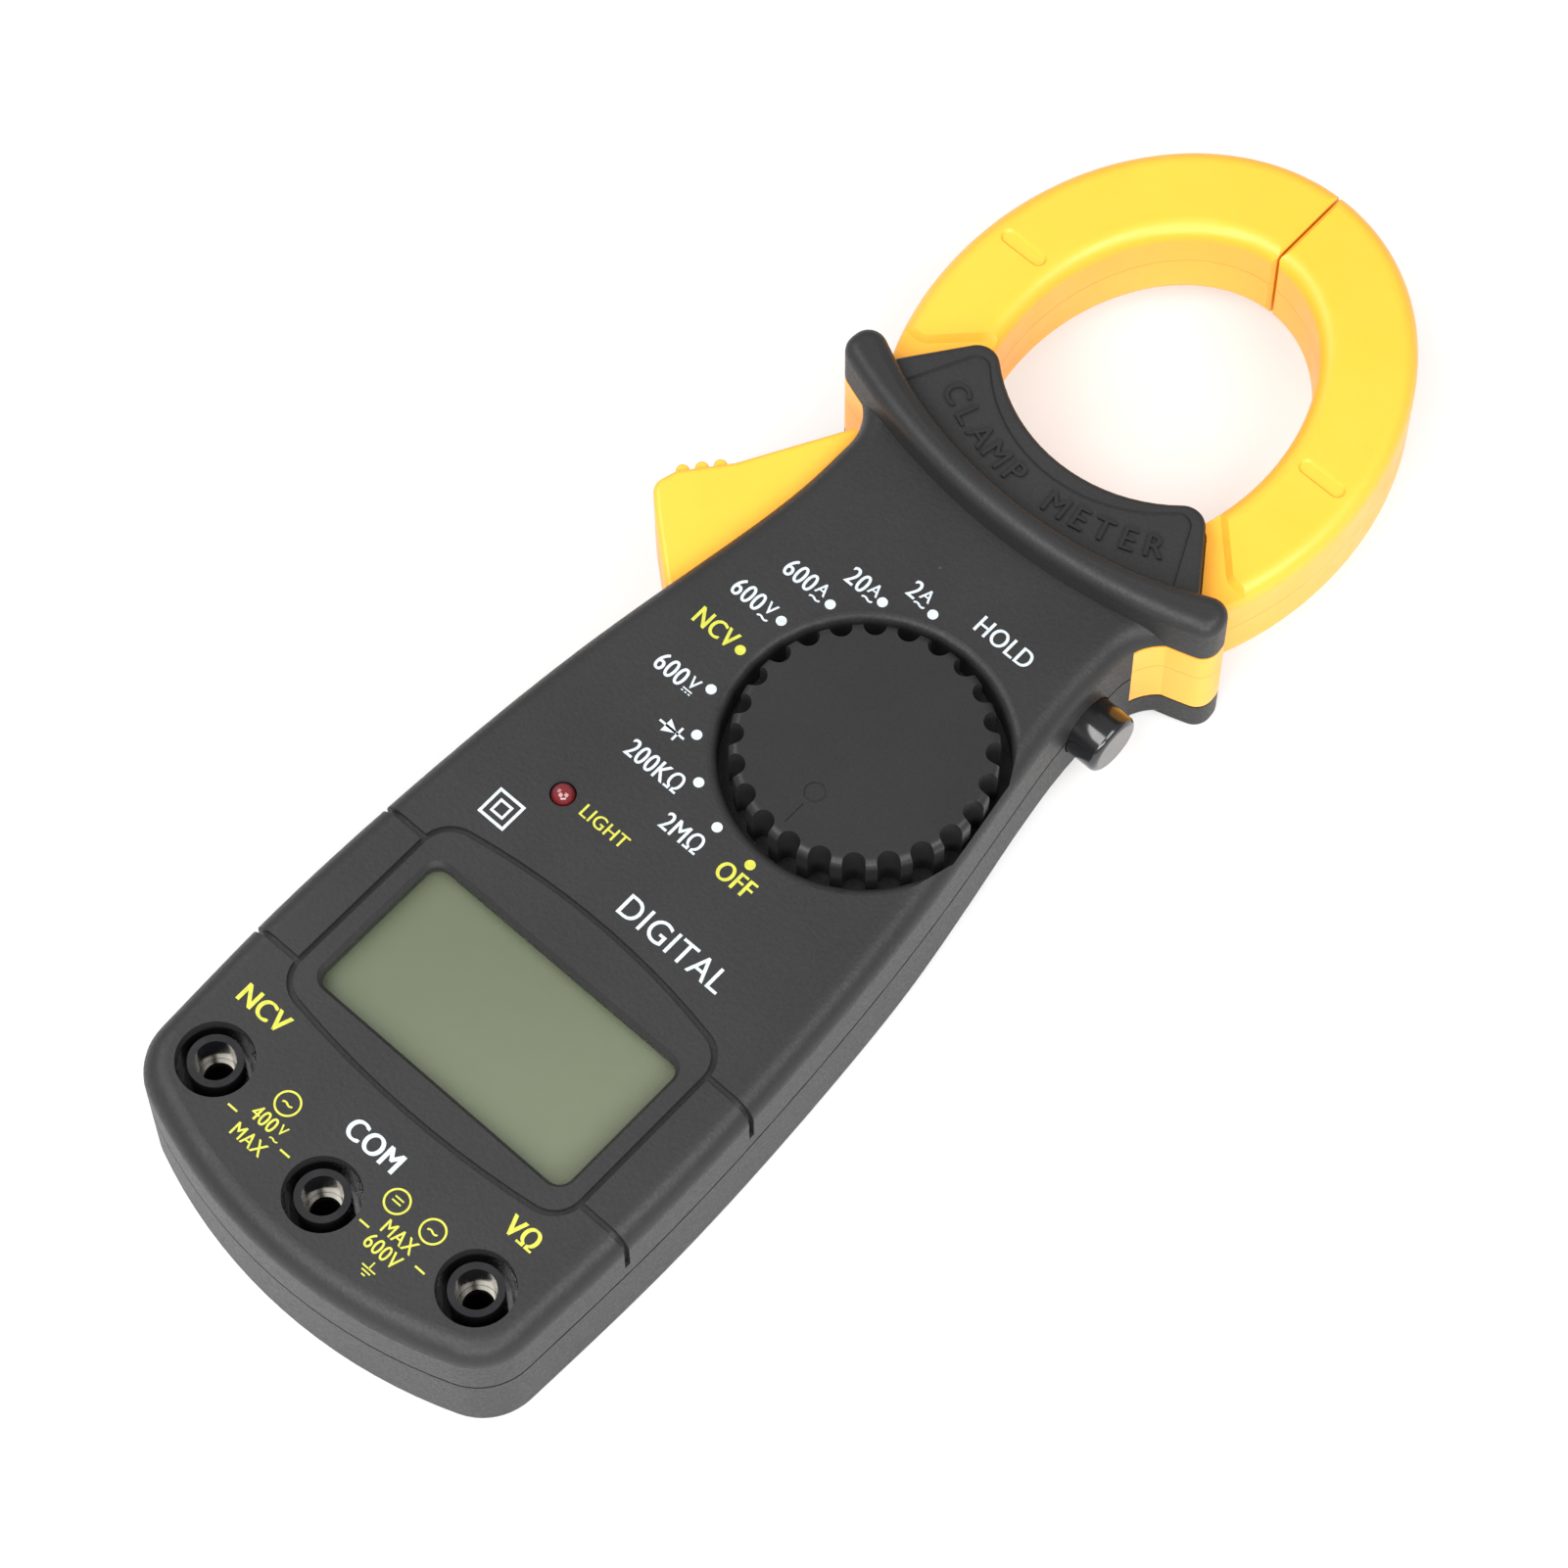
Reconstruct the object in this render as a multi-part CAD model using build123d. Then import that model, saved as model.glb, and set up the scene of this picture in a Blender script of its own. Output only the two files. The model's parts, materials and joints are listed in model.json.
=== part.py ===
from build123d import *
from math import cos, radians, sin
import os

# Hand-held clamp meter, millimetres.
# X points right as seen from the front, Y points towards the jaws, Z points out of the front face.
# The origin is on the flat back of the case, on its centreline, just above the battery door.

# ---------------------------------------------------------------- driving dimensions
CASE_BACK = 0.0
PARTING = 13.0
FACE = 23.0
WALL = 2.0
CASE_BOTTOM = -63.8
CASE_CORNER_Y = -56.5
CASE_SIDE = [(31.25, -56.5), (32.2, -28.0), (31.1, 1.5), (28.45, 28.0), (24.95, 50.0), (23.7, 64.0)]
CORNER_R = 8.6
FRONT_EDGE_R = 3.2
BACK_EDGE_R = 2.0
GUARD_BACK_R = 1.2
NECK_X = 23.7
WEB_R = 7.5
WEB_Y = 68.4
WEB_TURN = 56.0
NECK_END = 70.7
CAVITY_TOP = FACE - WALL
SEAM = 0.45
SEAM_DEPTH = 0.8

FLANGE_UNDER = 20.2
FLANGE_BACK = 5.8
RIDGE_TOP = 28.0
PANEL_TOP = 25.0
PANEL_Y = 83.4

JAW_FRONT = 22.0
JAW_BACK = 6.2
JAW_DECK = 21.0
JAW_PARTING = 14.5
JAW_BASE_FRONT = 19.8
JAW_BASE_BACK = 6.2
RING_Y = 101.27
RING_RX = 32.5
RING_RY = 39.7
WINDOW_Y = 100.86
WINDOW_RX = 19.8
WINDOW_RY = 26.3
TIP_GAP = 0.2
PIVOT_X = -24.0
PIVOT_Y = 76.0
PIN_R = 2.0
HEEL_R = 20.8
HEEL_GAP = 0.4
SPLIT_X = -3.2

DIAL_X = 8.73
DIAL_Y = 35.75
DIAL_R = 17.4
DIAL_TOP = 25.6
DIAL_EDGE_R = 1.3
WELL_R = 18.9
WELL_LIP = 1.3
WELL_WALL = 0.6
WELL_FLOOR = 17.5
WELL_UNDER = 16.3
SHAFT_R = 3.0
NOTCHES = 24
NOTCH_R = 1.5
NOTCH_AT = 16.9

LCD_Y = -22.87
LCD_W = 42.34
LCD_H = 22.04

BOARD_UNDER = 13.8
BOARD_TOP = 15.2

JACKS = {"ncv": (-22.5, -50.24), "com": (0.0, -54.15), "volt": (22.5, -50.24)}
JACK_WELL_R = 5.13
JACK_POST_R = 3.6
JACK_BORE_R = 2.65
SLEEVE_BORE_R = 2.05

LED_X = -15.6
LED_Y = 5.5

BUTTON_Y = 62.3
BUTTON_Z = 11.5
BUTTON_R = 4.3
BUTTON_END = 28.7

SPRING_X = (-19.4, -11.8)
SPRING_Y = 56.5
SPRING_R = 2.6
SEAT_X = (-11.7, -10.3)

CELL_R = 5.25
CELL_LENGTH = 44.5
CONTACT_X = (22.28, 22.8)
BAY_X = 22.9
DOOR_X = 23.7
DOOR_Y = (-46.5, -12.5)
DOOR_THICKNESS = 1.6
CELL_Y = (-37.4, -26.3)
CELL_Z = 7.4

CASE_SCREWS = [(-27.6, -38.0), (27.6, -38.0), (-24.5, 15.5), (24.5, 15.5), (1.5, 60.6)]
BOARD_SCREWS = [(-19.0, -3.5), (19.0, -3.5), (-15.5, 20.0), (17.0, 12.0)]

parts = {}


# ---------------------------------------------------------------- helpers
def span(x, y, z):
    """A box from three (low, high) pairs."""
    middle = [(low + high) / 2 for low, high in (x, y, z)]
    return Pos(*middle) * Box(x[1] - x[0], y[1] - y[0], z[1] - z[0])


def rod(x, y, z, radius):
    """An upright cylinder between two heights."""
    return Pos(x, y, (z[0] + z[1]) / 2) * Cylinder(radius, z[1] - z[0])


def rod_x(x, y, z, radius):
    """A cylinder along X between two places."""
    return Pos((x[0] + x[1]) / 2, y, z) * Rot(0, 90, 0) * Cylinder(radius, x[1] - x[0])


def slab(face, z):
    """A flat face drawn at Z = 0, raised to a slab between two heights."""
    return extrude(Pos(0, 0, z[0]) * face, amount=z[1] - z[0], dir=(0, 0, 1))


def polygon(points):
    return make_face(Polyline(*points, close=True))


def mirrored(points):
    """A half outline in +X, from its lower to its upper end, closed by its mirror image."""
    return points + [(-x, y) for x, y in reversed(points)]


def rounded(face, corners, radius):
    """Rounds the corners of a face that lie nearest to the given points."""
    chosen = [min(face.vertices(), key=lambda v: (Vector(*v) - Vector(*corner)).length) for corner in corners]
    return fillet(chosen, radius)


def edges_at(solid, height):
    return [e for e in solid.edges() if abs(e.bounding_box().min.Z - height) < 1e-4
            and abs(e.bounding_box().max.Z - height) < 1e-4]


def outer_rim(solid, height):
    """The edges at one height except the straight one at the upper end."""
    end = solid.bounding_box().max.Y
    return [e for e in edges_at(solid, height) if e.center().Y < end - 0.1]


# ---------------------------------------------------------------- outlines
def web_point(turn, inset):
    """A point on the arc that spreads the right side of the neck towards the hand guard."""
    swing = Vector(WEB_R + inset, 0).rotate(Axis.Z, 180 - turn)
    return NECK_X + WEB_R + swing.X, WEB_Y + swing.Y


def case_outline(inset=0.0, top=72.0, webs=False):
    """The case seen from the front: a shallow arc below, tapering sides and a straight neck."""
    right = [(x - inset, y) for x, y in CASE_SIDE]
    right[0] = (right[0][0], CASE_CORNER_Y + inset)
    left = [(-x, y) for x, y in right]
    bottom = ThreePointArc(left[0], (0, CASE_BOTTOM + inset), right[0])
    side_right = Spline(*right, tangents=[(0.04, 1), (0, 1)])
    side_left = Spline(*reversed(left), tangents=[(0, -1), (0.04, -1)])
    if webs:
        foot, bow, tip = (web_point(turn, inset) for turn in (0, WEB_TURN / 2, WEB_TURN))
        neck_right = Line(right[-1], foot) + ThreePointArc(foot, bow, tip)
        neck_left = mirror(neck_right, Plane.YZ)
    else:
        tip = (right[-1][0], top)
        neck_right = Line(right[-1], tip)
        neck_left = Line((-tip[0], top), left[-1])
    top_line = Line(tip, (-tip[0], tip[1]))
    face = make_face(bottom + side_right + neck_right + top_line + neck_left + side_left)
    return rounded(face, [left[0], right[0]], CORNER_R - inset)


def ridge_outline():
    """The curved hand guard across the neck, wider towards its two rounded tips."""
    lower = ThreePointArc((-32.2, 76.2), (0, 70.3), (32.2, 76.2))
    right = Line((32.2, 76.2), (31.6, 82.7))
    upper = ThreePointArc((31.6, 82.7), (0, 74.4), (-31.6, 82.7))
    left = Line((-31.6, 82.7), (-32.2, 76.2))
    face = make_face(lower + right + upper + left)
    return rounded(face, [(-32.2, 76.2), (32.2, 76.2), (31.6, 82.7), (-31.6, 82.7)], 2.6)


def guard_outline():
    """The hand guard with the webs that blend it into the neck."""
    neck = case_outline(webs=True) & polygon(mirrored([(40, 64.5), (40, 80)]))
    return ridge_outline() + neck


def panel_outline(inset=0.0, corner=3.0):
    """The label panel over the jaw roots, with a hollow arc that faces the conductor window."""
    low = (26.6 - inset, 77.0)
    high = (18.15 - 1.3 * inset, 91.8 - 0.8 * inset)
    arc = ThreePointArc(high, (0, PANEL_Y - inset), (-high[0], high[1]))
    left = Polyline((-high[0], high[1]), (-26.3 + inset, 80.7), (-low[0], low[1]))
    base = Polyline((-low[0], low[1]), (0, 72.6), low)
    right = Polyline(low, (26.3 - inset, 80.7), high)
    face = make_face(arc + left + base + right)
    return rounded(face, [high, (-high[0], high[1])], corner)


def panel_field():
    """The sunken field of the label panel, which runs under the hand guard."""
    high, low = (17.8, 89.7), (24.0, 77.0)
    arc = ThreePointArc(high, (0, PANEL_Y - 2.6), (-high[0], high[1]))
    sides = Polyline((-high[0], high[1]), (-low[0], low[1]), (0, 72.6), low, high)
    return rounded(make_face(arc + sides), [high, (-high[0], high[1])], 1.8)


def bezel_outline(grow=0.0):
    """The frame round the display, with slightly bulging upper and lower edges."""
    x = 24.3 + grow
    low, high = -37.2 - grow, -7.4 + grow
    bottom = ThreePointArc((-x, low), (0, low - 2.1), (x, low))
    top = ThreePointArc((x, high), (0, high + 2.8), (-x, high))
    face = make_face(bottom + Line((x, low), (x, high)) + top + Line((-x, high), (-x, low)))
    return rounded(face, [(-x, low), (x, low), (x, high), (-x, high)], 4.5 + grow)


def ellipse_band(outer_inset, inner_inset):
    outer = Pos(0, RING_Y) * Ellipse(RING_RX - outer_inset, RING_RY - outer_inset)
    inner = Pos(0, WINDOW_Y) * Ellipse(WINDOW_RX + inner_inset, WINDOW_RY + inner_inset)
    return outer - inner


# ---------------------------------------------------------------- case
def button_hole():
    return rod_x((18.0, 32.0), BUTTON_Y, BUTTON_Z, BUTTON_R + 0.15)


def side_groove(side, y):
    """A shallow groove from the display frame over the edge and down the side wall."""
    depth = 0.7
    core = slab(case_outline(depth), (PARTING, FACE - depth))
    core = fillet(edges_at(core, FACE - depth), FRONT_EDGE_R - 0.4)
    x = (24.2, 34.0) if side > 0 else (-34.0, -24.2)
    return span(x, (y - 0.45, y + 0.45), (15.5, FACE + 1)) - core


def dial_well():
    """The round recess for the dial, with a rounded mouth and a flat side along the thin outer wall."""
    mouth = Polyline((0, WELL_FLOOR), (WELL_R, WELL_FLOOR), (WELL_R, FACE - WELL_LIP))
    lip_arc = RadiusArc((WELL_R, FACE - WELL_LIP), (WELL_R + WELL_LIP, FACE), WELL_LIP)
    close = Polyline((WELL_R + WELL_LIP, FACE), (WELL_R + WELL_LIP, FACE + 2), (0, FACE + 2), (0, WELL_FLOOR))
    profile = make_face(mouth + lip_arc + close)
    well = Pos(DIAL_X, DIAL_Y, 0) * revolve(Rot(90, 0, 0) * profile, Axis.Z)
    return well & slab(case_outline(WELL_WALL), (WELL_FLOOR - 1, FACE + 3))


def front_cover():
    body = slab(case_outline(webs=True), (PARTING, FACE))
    body = fillet(outer_rim(body, FACE), FRONT_EDGE_R)
    outer = body
    body -= slab(case_outline(WALL, top=66.0), (PARTING - 1, CAVITY_TOP))
    body -= span((-NECK_X + WALL, NECK_X - WALL), (60, 75), (PARTING - 1, FLANGE_UNDER))
    body -= span((-40, 40), (NECK_END, 80), (PARTING - 1, FLANGE_UNDER))

    ridge = slab(ridge_outline(), (FLANGE_UNDER, RIDGE_TOP))
    ridge = fillet(edges_at(ridge, RIDGE_TOP), 1.9)
    panel = slab(panel_outline(), (FLANGE_UNDER, PANEL_TOP))
    panel = fillet([e for e in edges_at(panel, PANEL_TOP) if e.center().Y > 78], 0.9)
    field = extrude(Pos(0, 0, PANEL_TOP - 0.5) * panel_field(), amount=1.0, taper=-20)
    body += (panel - field) + ridge

    well_wall = rod(DIAL_X, DIAL_Y, (WELL_UNDER, CAVITY_TOP + 0.5), WELL_R + 1.5)
    body += well_wall & outer
    for x, y in CASE_SCREWS:
        post_top = CAVITY_TOP + 0.5
        body += rod(x, y, (PARTING, post_top), 3.0)
    for x, y in BOARD_SCREWS:
        body += rod(x, y, (BOARD_TOP, CAVITY_TOP + 0.5), 2.2)

    body += span(SEAT_X, (SPRING_Y - 3.5, SPRING_Y + 3.5), (8.5, CAVITY_TOP + 0.5))

    body -= dial_well()
    body -= rod(DIAL_X, DIAL_Y, (WELL_UNDER - 1, WELL_FLOOR + 1), SHAFT_R + 0.06)
    body -= slab(bezel_outline(0.4) - bezel_outline(-0.4), (FACE - 0.75, FACE + 1))
    for y in (-33.7, -10.7):
        for side in (-1, 1):
            body -= side_groove(side, y)

    window = Pos(0, LCD_Y) * RectangleRounded(LCD_W, LCD_H, 2.0)
    body -= slab(window, (CAVITY_TOP - 1, FACE + 1))
    body -= extrude(Pos(0, 0, FACE - 0.7) * window, amount=0.9, taper=-40)
    for x, y in JACKS.values():
        body -= rod(x, y, (CAVITY_TOP - 1, FACE + 1), JACK_WELL_R)
    body -= rod(LED_X, LED_Y, (CAVITY_TOP - 1, FACE + 1), 1.75)
    body -= span((-40, -20.4), (36.6, 75), (PARTING - 1, FLANGE_UNDER))
    body -= polygon_slab([(-25.2, 82.6), (-25.6, 79.2), (-35, 79.2), (-35, 85)], (FLANGE_UNDER - 1, 21.4))
    body -= button_hole()
    for x, y in CASE_SCREWS:
        body -= rod(x, y, (PARTING - 1, 19.0), 1.25)
    for x, y in BOARD_SCREWS:
        body -= rod(x, y, (BOARD_TOP - 1, 20.0), 0.95)
    for x in (PIVOT_X, -PIVOT_X):
        body -= rod(x, PIVOT_Y, (FLANGE_UNDER - 1, 25.6), PIN_R + 0.02)
    return body


def polygon_slab(points, z):
    return slab(polygon(points), z)


def back_wedge(lift=0.0):
    """The space under the neck, where the back rises away from the table."""
    profile = [(5, -3), (5, lift), (46, 4.5 + lift), (64.5, 4.5 + lift), (69.5, lift), (69.5, -3)]
    face = Plane.YZ * polygon(profile)
    return extrude(face, amount=45, both=True)


def back_cover():
    body = slab(case_outline(webs=True), (CASE_BACK, PARTING))
    body = fillet(outer_rim(body, CASE_BACK), BACK_EDGE_R)
    body -= span((-40, 40), (NECK_END, 80), (FLANGE_BACK, 20))
    guard = slab(ridge_outline() + panel_outline(), (CASE_BACK, FLANGE_BACK))
    body += fillet([e for e in edges_at(guard, CASE_BACK) if e.center().Y > 74.6], GUARD_BACK_R)
    body -= back_wedge()
    body -= slab(case_outline(WALL, top=66.0), (WALL, PARTING + 1)) - back_wedge(1.5)
    body -= span((-NECK_X + WALL, NECK_X - WALL), (60, 75), (6.0, PARTING + 1))
    seam = case_outline(-1.0, webs=True) - case_outline(SEAM_DEPTH, webs=True)
    body -= slab(seam, (PARTING - SEAM, PARTING + 1))

    pad = span((-25.0, 25.0), (-48.8, -11.3), (CASE_BACK, 3.0))
    walls = span((-23.9, 23.9), (-44.2, -19.2), (CASE_BACK, 13.4))
    body += pad + walls
    body -= span((-BAY_X, BAY_X), (-43.3, -20.2), (-1, 12.7))
    body -= span((-DOOR_X - 0.15, DOOR_X + 0.15), (DOOR_Y[0] - 0.15, DOOR_Y[1] + 0.15), (-1, DOOR_THICKNESS + 0.05))
    for x in (-12, 12):
        body -= span((x - 2.6, x + 2.6), (-48.2, -46.0), (0.85, 1.75))
    body += rod(0, -15.2, (DOOR_THICKNESS + 0.05, 9.0), 3.2)
    body -= rod(0, -15.2, (1.0, 8.0), 1.25)

    for x, y in CASE_SCREWS:
        body += rod(x, y, (WALL, PARTING), 3.6) - back_wedge(1.0)
    for x, y in CASE_SCREWS:
        body -= rod(x, y, (-1, 7.0), 2.5)
        body -= rod(x, y, (6.0, PARTING + 1), 1.35)
    body -= span((-40, -20.4), (36.6, 75), (6.0, PARTING + 1))
    body -= button_hole()
    for x in (PIVOT_X, -PIVOT_X):
        body -= rod(x, PIVOT_Y, (2.3, 7.0), PIN_R + 0.02)
    return body


def battery_door():
    door = span((-DOOR_X, DOOR_X), DOOR_Y, (CASE_BACK, DOOR_THICKNESS))
    door = fillet(door.edges().filter_by(Axis.Z), 0.4)
    for x in (-12, 12):
        door += span((x - 2.4, x + 2.4), (-48.0, -46.0), (0.9, DOOR_THICKNESS))
    for i in range(5):
        door -= span((-8, 8), (-43.5 + 1.6 * i, -42.7 + 1.6 * i), (-1, 0.4))
    door -= rod(0, -15.2, (-1, 2), 1.3)
    door -= rod(0, -15.2, (-1, 1.1), 2.45)
    return door


def screw(x, y, z, head_r, shank_r, head_h, length):
    """A pan-head screw, driven from below, with a cross recess in its head."""
    body = rod(x, y, (z - head_h, z), head_r) + rod(x, y, (z, z + length), shank_r)
    recess = span((x - 1.3, x + 1.3), (y - 0.25, y + 0.25), (z - head_h - 1, z - head_h + 0.8))
    recess += span((x - 0.25, x + 0.25), (y - 1.3, y + 1.3), (z - head_h - 1, z - head_h + 0.8))
    return body - recess


# ---------------------------------------------------------------- display and electronics
def main_board():
    outline = [(-22.8, -42), (22.8, -42), (22.8, 8), (20.4, 10), (20.4, 21), (22.2, 24), (22.2, 50), (18.6, 54),
               (18.6, 66), (12, 66), (12, 54), (-8.8, 54), (-8.8, 24), (-20, 22.6), (-20, 9), (-22.8, 6)]
    board = polygon_slab(outline, (BOARD_UNDER, BOARD_TOP))
    for x, y in BOARD_SCREWS:
        board -= rod(x, y, (10, 20), 1.15)
    for x, y in CASE_SCREWS:
        board -= rod(x, y, (10, 20), 3.9)
    return board


def lcd_parts():
    parts["lcd_window"] = span((-23.0, 23.0), (LCD_Y - 13, LCD_Y + 13), (20.0, CAVITY_TOP))
    parts["lcd_glass"] = span((-22.6, 22.6), (LCD_Y - 12.6, LCD_Y + 12.6), (17.4, 19.95))
    frame = span((-23.6, 23.6), (LCD_Y - 13.8, LCD_Y + 13.8), (BOARD_TOP, 19.95))
    parts["lcd_frame"] = frame - span((-22.7, 22.7), (LCD_Y - 12.7, LCD_Y + 12.7), (BOARD_TOP - 1, 21))
    parts["zebra_strip"] = span((-20.0, 20.0), (-34.9, -32.9), (BOARD_TOP, 17.4))


def led_indicator():
    body = rod(LED_X, LED_Y, (17.0, 22.6), 1.6) + Pos(LED_X, LED_Y, 22.6) * Sphere(1.6)
    body += rod(LED_X, LED_Y, (16.4, 17.2), 2.0)
    for dx in (-0.9, 0.9):
        body += rod(LED_X + dx, LED_Y, (BOARD_TOP, 16.6), 0.3)
    return body


def jack_block():
    """The moulding behind the three sockets: a base plate with a cup and a hollow post for each."""
    plate = [(-28.2, -44.7), (-28.2, -52.0), (-23.5, -55.8), (0, -59.8), (23.5, -55.8), (28.2, -52.0), (28.2, -44.7)]
    block = polygon_slab(plate, (9.0, 10.5))
    for x, y in JACKS.values():
        block += rod(x, y, (9.0, CAVITY_TOP), JACK_WELL_R + 0.7) - rod(x, y, (10.5, 22), JACK_WELL_R)
        block += rod(x, y, (6.0, FACE - 0.5), JACK_POST_R)
    for x, y in JACKS.values():
        block -= rod(x, y, (5, 24), JACK_BORE_R)
    return block


def jack_sleeve(x, y):
    """A turned metal socket with an open mouth and a solder lug."""
    sleeve = rod(x, y, (5.0, 17.0), JACK_BORE_R - 0.03) - rod(x, y, (6.5, 18), SLEEVE_BORE_R)
    return sleeve + rod(x, y, (3.6, 5.2), 1.2)


def hold_switch():
    body = span((12.5, 18.0), (59.0, 65.6), (8.8, BOARD_UNDER))
    return body - rod_x((12.9, 19), BUTTON_Y, BUTTON_Z, 1.3)


def hold_button():
    cap = rod_x((20.4, BUTTON_END), BUTTON_Y, BUTTON_Z, BUTTON_R)
    cap = fillet(cap.edges().group_by(Axis.X)[-1], 0.9)
    return cap + rod_x((20.4, 21.5), BUTTON_Y, BUTTON_Z, BUTTON_R + 0.75)


def battery_contacts():
    z = (3.0, 11.8)
    parts["battery_bridge"] = span(CONTACT_X, (-42.5, -21.2), z)
    for name, y in zip(("battery_contact_plus", "battery_contact_minus"), CELL_Y):
        parts[name] = span((-CONTACT_X[1], -CONTACT_X[0]), (y - 4.6, y + 4.6), z)
    for name, y, end in zip(("battery_cell_lower", "battery_cell_upper"), CELL_Y, (1, -1)):
        half = CELL_LENGTH / 2
        can = rod_x((-half + 0.8, half - 0.8), y, CELL_Z, CELL_R)
        cap = rod_x((0, end * half) if end > 0 else (end * half, 0), y, CELL_Z, 1.9)
        foot = rod_x((-half, 0) if end > 0 else (0, half), y, CELL_Z, 3.6)
        parts[name] = can + cap + foot


# ---------------------------------------------------------------- dial
def dial_knob():
    knob = rod(DIAL_X, DIAL_Y, (WELL_FLOOR + 0.3, DIAL_TOP), DIAL_R)
    knob = fillet(edges_at(knob, DIAL_TOP), DIAL_EDGE_R)
    for i in range(NOTCHES):
        turn = 7.5 + 360 / NOTCHES * i
        cutter = rod(0, 0, (16, 27), NOTCH_R) + span((0, 4), (-NOTCH_R, NOTCH_R), (16, 27))
        knob -= Pos(DIAL_X, DIAL_Y, 0) * Rot(0, 0, turn) * Pos(NOTCH_AT, 0, 0) * cutter
    knob += rod(DIAL_X, DIAL_Y, (15.5, WELL_FLOOR + 1), SHAFT_R)
    knob -= rod(DIAL_X, DIAL_Y - 9.4, (DIAL_TOP - 0.25, DIAL_TOP + 1), 1.45)
    knob -= span((DIAL_X - 0.1, DIAL_X + 0.1), (DIAL_Y - 15.0, DIAL_Y - 11.6), (DIAL_TOP - 0.15, DIAL_TOP + 1))
    for dx in (-12.0, 12.0):
        knob -= rod(DIAL_X + dx, DIAL_Y, (17.0, 21.6), 1.1)
    return knob


def dial_parts():
    parts["dial_knob"] = dial_knob()
    disc = rod(DIAL_X, DIAL_Y, (15.5, 16.15), 13.5) - rod(DIAL_X, DIAL_Y, (15, 17), SHAFT_R + 0.02)
    parts["dial_rotor"] = disc
    wipers = [span((DIAL_X - 6, DIAL_X + 6), (DIAL_Y + dy - 0.8, DIAL_Y + dy + 0.8), (15.25, 15.5))
              for dy in (-11.0, -8.2, -5.4)]
    parts["wiper_contacts"] = Compound(children=wipers)
    parts["detent_balls"] = Compound(children=[Pos(DIAL_X + dx, DIAL_Y, 18.6) * Sphere(1.05) for dx in (-12, 12)])
    springs = [rod(DIAL_X + dx, DIAL_Y, (19.7, 21.5), 1.0) - rod(DIAL_X + dx, DIAL_Y, (19, 22), 0.6)
               for dx in (-12, 12)]
    parts["detent_springs"] = Compound(children=springs)


# ---------------------------------------------------------------- jaws
def zone(side, grow=0.0):
    """The plan area that belongs to the moving jaw (side -1) or to the fixed jaw (side 1)."""
    heel = Pos(PIVOT_X, PIVOT_Y) * Circle(HEEL_R + (0 if side < 0 else HEEL_GAP))
    if side < 0:
        tips = polygon([(-60, 100), (-TIP_GAP, 100), (-TIP_GAP, 160), (-60, 160)])
        root = polygon([(-60, PIVOT_Y), (SPLIT_X, PIVOT_Y), (SPLIT_X, 100), (-60, 100)])
        low = heel & polygon([(-60, 30), (20, 30), (20, PIVOT_Y), (-60, PIVOT_Y)])
        return tips + root + low + polygon([(-60, 30), (-20, 30), (-20, PIVOT_Y), (-60, PIVOT_Y)])
    tips = polygon([(60, 100), (TIP_GAP, 100), (TIP_GAP, 160), (60, 160)])
    root = polygon([(60, 40), (60, 100), (SPLIT_X + HEEL_GAP, 100), (SPLIT_X + HEEL_GAP, 76), (-12, 60), (-12, 40)])
    return tips + (root - heel)


def jaw_blank():
    """Both jaws in one piece, before they are divided."""
    ring = slab(ellipse_band(0, 0), (JAW_BACK, JAW_FRONT))
    ring = fillet(edges_at(ring, JAW_FRONT) + edges_at(ring, JAW_BACK), 2.4)
    cover = guard_outline() + panel_outline()
    roots = guard_outline() + panel_outline(inset=0.4, corner=2.6)
    roots &= polygon([(-60, NECK_END), (60, NECK_END), (60, 120), (-60, 120)])
    under = offset(cover, amount=0.3)
    ring -= slab(under, (JAW_BASE_FRONT, 30))
    deck = rounded(polygon([(-60, 50), (60, 50), (60, 86.1), (26.6, 86.1), (14, 98.5), (-14, 98.5), (-26.6, 86.1),
                            (-60, 86.1)]), [(26.6, 86.1), (-26.6, 86.1)], 2.4)
    ring -= extrude(Pos(0, 0, JAW_DECK) * deck, amount=2.0, taper=-40)
    ring -= span((-60, 60), (50, NECK_END), (0, 30))
    for side in (-1, 1):
        ring -= ring_mark(side)
    for z in (JAW_BACK, JAW_FRONT):
        ring -= Pos(0, WINDOW_Y + 33, z) * Rot(0, 45, 0) * Box(1.0, 20, 1.0)
    for y in (RING_Y + RING_RY, WINDOW_Y + WINDOW_RY):
        ring -= Pos(0, y, PARTING) * Rot(0, 0, 45) * Box(1.0, 1.0, 30)
    return ring + slab(roots, (JAW_BASE_BACK, JAW_BASE_FRONT))


def ring_mark(side):
    """A shallow slot with sloping walls, which shows where the conductor should lie."""
    plan = Pos(side * 26.0, 105.8, JAW_FRONT - 0.4) * SlotOverall(6.8, 1.7)
    return extrude(plan, amount=1.0, taper=-40)


def fixed_heel():
    """The part of the fixed jaw that is held inside the neck of the case."""
    outline = [(21.6, NECK_END + 1), (21.6, 67.8), (9.5, 67.8), (6.5, 64.0), (-8, 64.0), (-8, NECK_END + 1)]
    heel = polygon(outline) + Pos(1.5, 60.6) * Circle(5.2) + polygon([(-3.7, 60.6), (6.7, 60.6), (6.7, 65), (-3.7, 65)])
    heel -= Pos(1.5, 60.6) * Circle(3.75)
    return slab(heel, (JAW_BASE_BACK, JAW_BASE_FRONT))


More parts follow.
